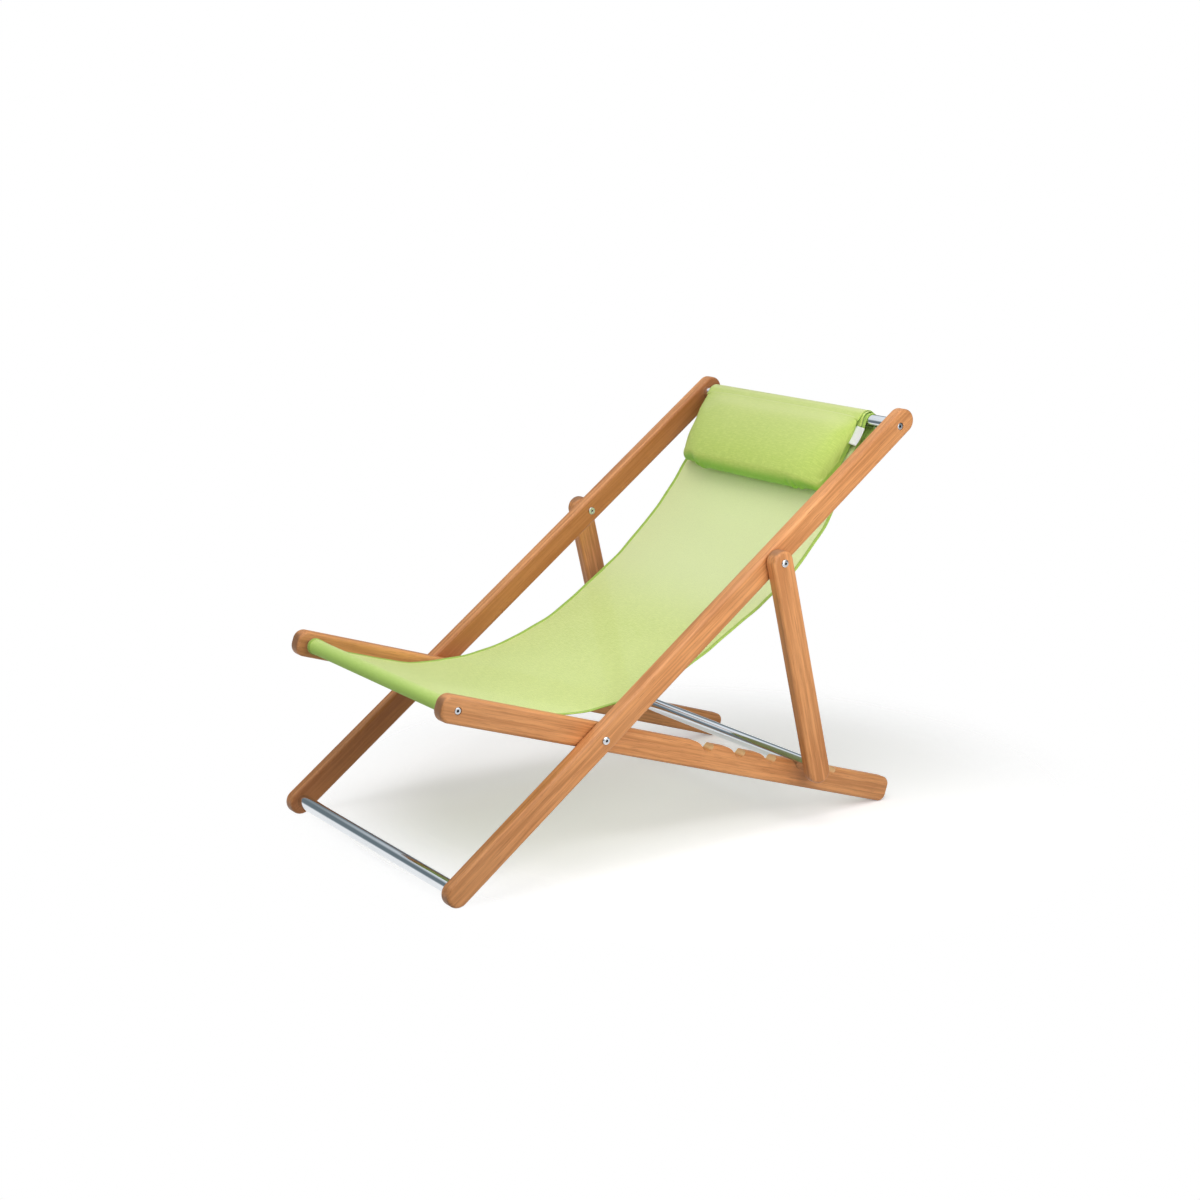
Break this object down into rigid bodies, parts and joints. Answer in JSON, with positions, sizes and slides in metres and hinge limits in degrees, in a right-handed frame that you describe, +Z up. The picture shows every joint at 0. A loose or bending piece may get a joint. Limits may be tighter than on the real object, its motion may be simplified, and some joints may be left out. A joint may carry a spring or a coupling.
{
  "type": "folding deck chair",
  "caption": "Folding deck chair: hardwood frame of crossing rails with steel cross tubes, notched reclining prop, hung mesh sling seat and a loose draped headrest cushion.",
  "frame": {"origin": "on the floor, under the middle of the chair's outline", "axes": "+Z up, +Y from the sitter's feet to the top of the back, +X to the sitter's left hand"},
  "size_m": [0.6114, 0.9186, 0.6966],
  "materials": {
    "oiled_hardwood": "oiled, satin, open lengthwise grain",
    "polished_tube": "polished steel tube",
    "fastener_steel": "zinc plated steel",
    "mesh_cloth": "open woven coated mesh, yellow green",
    "headrest_cloth": "tight woven outdoor cloth, green",
    "fibre_filling": "loose fibre",
    "weight_steel": "plain rod",
    "label_cloth": "blank woven tape"
  },
  "bodies": {
    "back_frame": {"back_rail_left": "oiled_hardwood", "back_rail_right": "oiled_hardwood", "top_tube": "polished_tube", "foot_tube": "polished_tube", "top_tube_plugs": "fastener_steel", "top_tube_screws": "fastener_steel", "seat_pivot_bolts": "fastener_steel", "seat_pivot_nuts": "fastener_steel", "seat_pivot_washers": "fastener_steel", "prop_pivot_bolts": "fastener_steel", "prop_pivot_nuts": "fastener_steel", "prop_pivot_washers": "fastener_steel", "sling": "mesh_cloth"},
    "seat_frame": {"seat_rail_left": "oiled_hardwood", "seat_rail_right": "oiled_hardwood", "front_tube": "polished_tube", "front_tube_plugs": "fastener_steel", "front_tube_screws": "fastener_steel"},
    "prop_frame": {"prop_leg_left": "oiled_hardwood", "prop_leg_right": "oiled_hardwood", "prop_bar": "polished_tube"},
    "headrest": {"headrest_cover": "headrest_cloth", "headrest_filling": "fibre_filling", "headrest_flap": "headrest_cloth", "flap_weight": "weight_steel", "label_tab": "label_cloth"}
  },
  "joints": [
    {"name": "seat_fold", "type": "hinge", "parent": "back_frame", "child": "seat_frame", "pos_m": [0, -0.17044, 0.22099], "axis": [-1, 0, 0], "range_deg": [0, 118.5], "deforming": ["sling"]},
    {"name": "prop_swing", "type": "hinge", "parent": "back_frame", "child": "prop_frame", "pos_m": [0, 0.16251, 0.46971], "axis": [-1, 0, 0], "range_deg": [0, 61.7]},
    {"name": "headrest_lift", "type": "slide", "parent": "back_frame", "child": "headrest", "axis": [0, 0.0872, 0.9962], "range_m": [0, 0.2]}
  ],
  "couplings": [
    {"joint": "prop_swing", "follows": "seat_fold", "ratio": 0.52}
  ]
}
